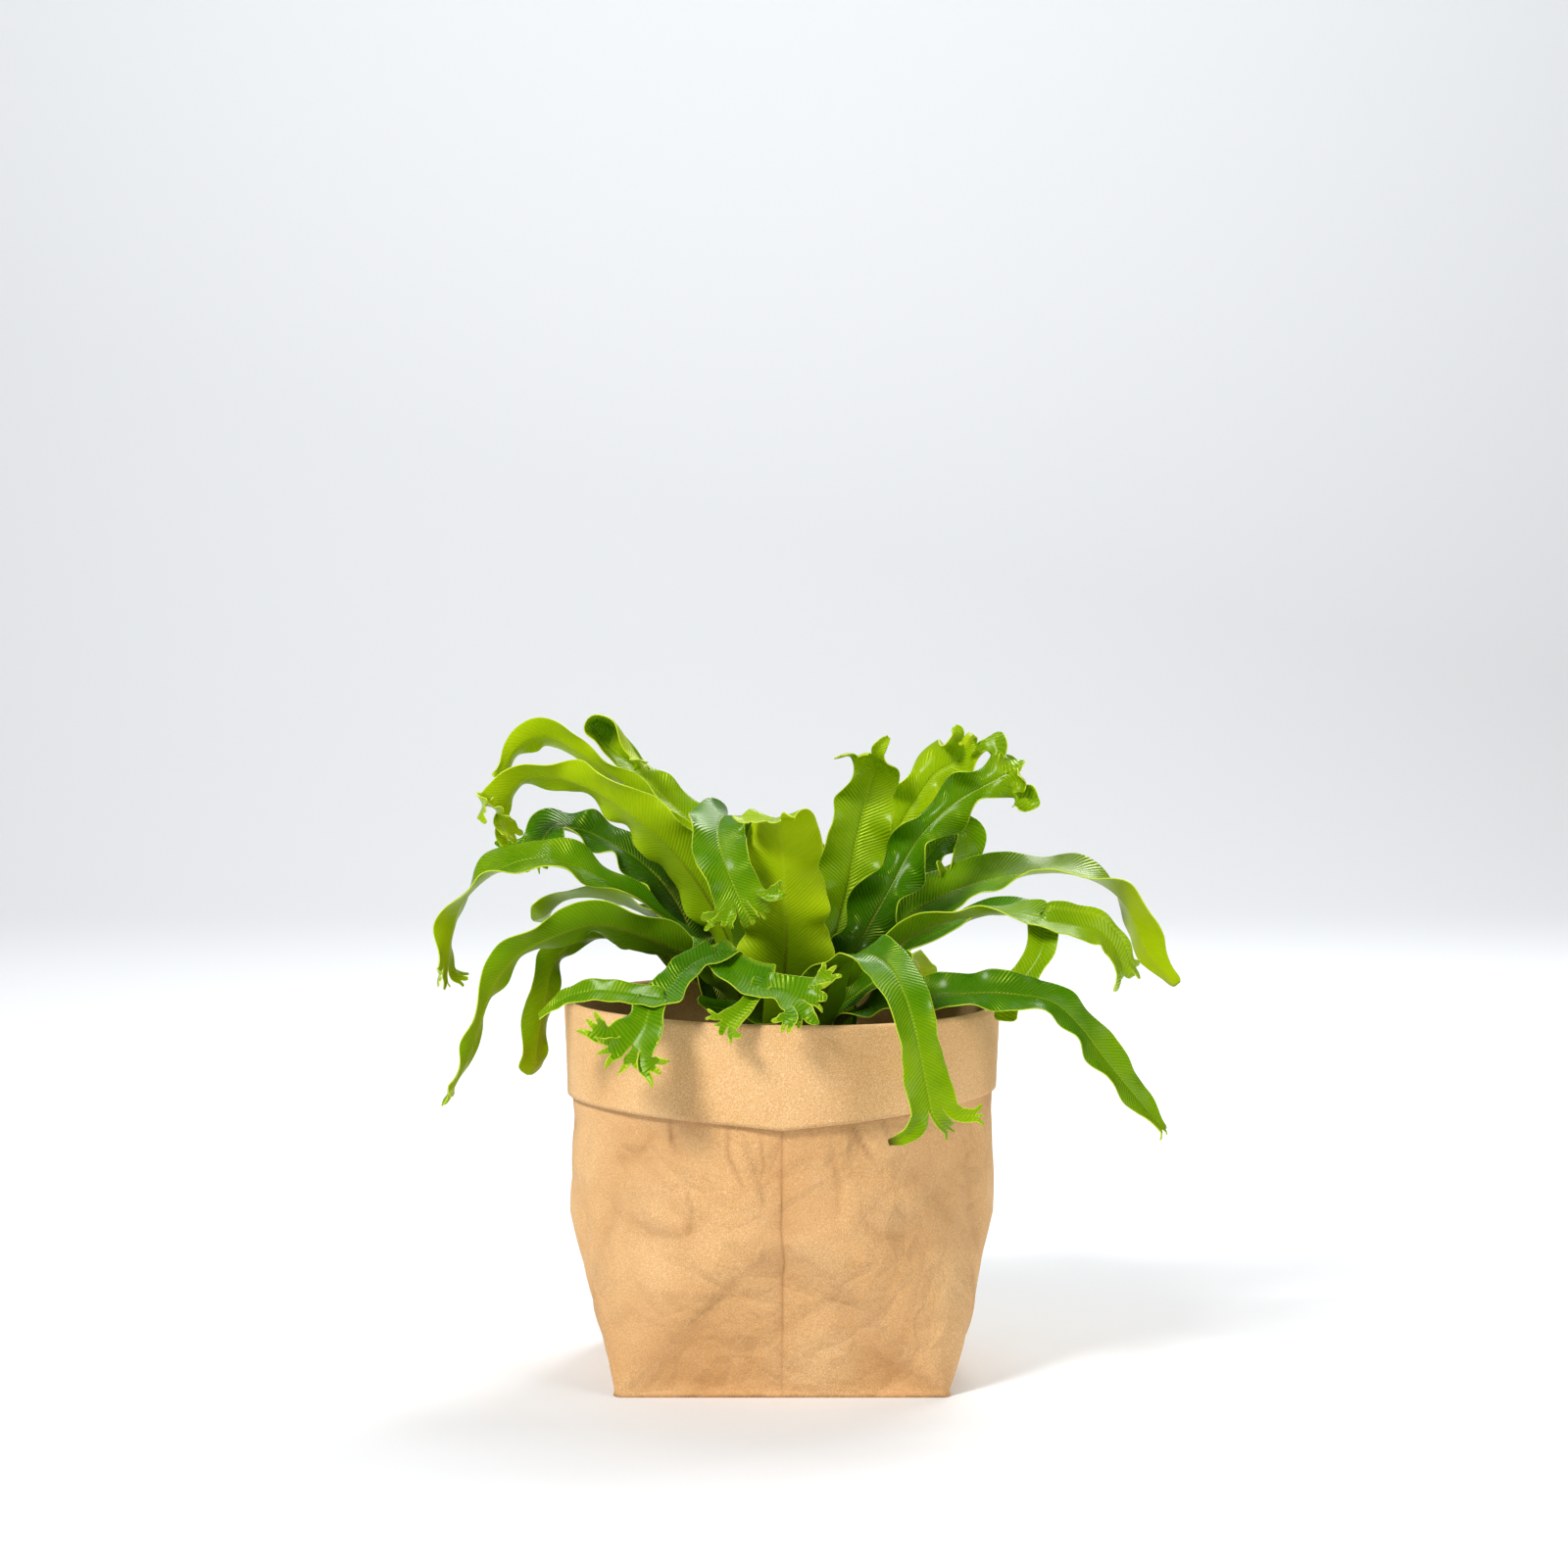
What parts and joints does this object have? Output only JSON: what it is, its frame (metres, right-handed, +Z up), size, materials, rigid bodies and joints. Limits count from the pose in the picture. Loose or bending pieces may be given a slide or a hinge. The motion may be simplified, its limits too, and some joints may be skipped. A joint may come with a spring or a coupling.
{
  "type": "potted fern",
  "caption": "Crested bird's-nest fern with long arching, fork-tipped fronds, in a plastic nursery pot that stands inside a washable-paper bag planter with a folded cuff.",
  "frame": {"origin": "middle of the paper bag's square base, on the surface that it stands on", "axes": "+Z up, -Y towards the plant's front, +X to its right"},
  "size_m": [0.338, 0.2535, 0.2977],
  "materials": {
    "washable_paper": "matte",
    "nursery_pot_plastic": "satin",
    "potting_soil": "matte",
    "crown": "matte",
    "frond_bright": "satin",
    "frond_mid": "satin",
    "frond_dark": "satin"
  },
  "bodies": {
    "root": {"paper_bag": "washable_paper", "nursery_pot": "nursery_pot_plastic", "potting_soil": "potting_soil", "crown": "crown", "frond_left_high": "frond_bright", "frond_left_upper": "frond_bright", "frond_left_top": "frond_mid", "frond_left_dark": "frond_dark", "frond_left_long": "frond_mid", "frond_left_round": "frond_mid", "frond_left_low": "frond_mid", "frond_left_hang": "frond_mid", "frond_front_fork": "frond_mid", "frond_front_tall": "frond_bright", "frond_front_bent": "frond_mid", "frond_back_left_low": "frond_mid", "frond_back_left_nod": "frond_mid", "frond_back_upright": "frond_mid", "frond_back_tall": "frond_bright", "frond_back_curled": "frond_bright", "frond_back_right_nod": "frond_mid", "frond_back_arch": "frond_dark", "frond_back_right_low": "frond_bright", "frond_right_wavy": "frond_mid", "frond_right_long": "frond_mid", "frond_right_mid": "frond_mid", "frond_right_fork": "frond_mid", "frond_right_low": "frond_mid", "frond_front_right": "frond_mid", "frond_front_small": "frond_dark", "frond_front_right_small": "frond_dark", "frond_young_back": "frond_bright", "frond_young_front": "frond_bright"}
  },
  "joints": []
}
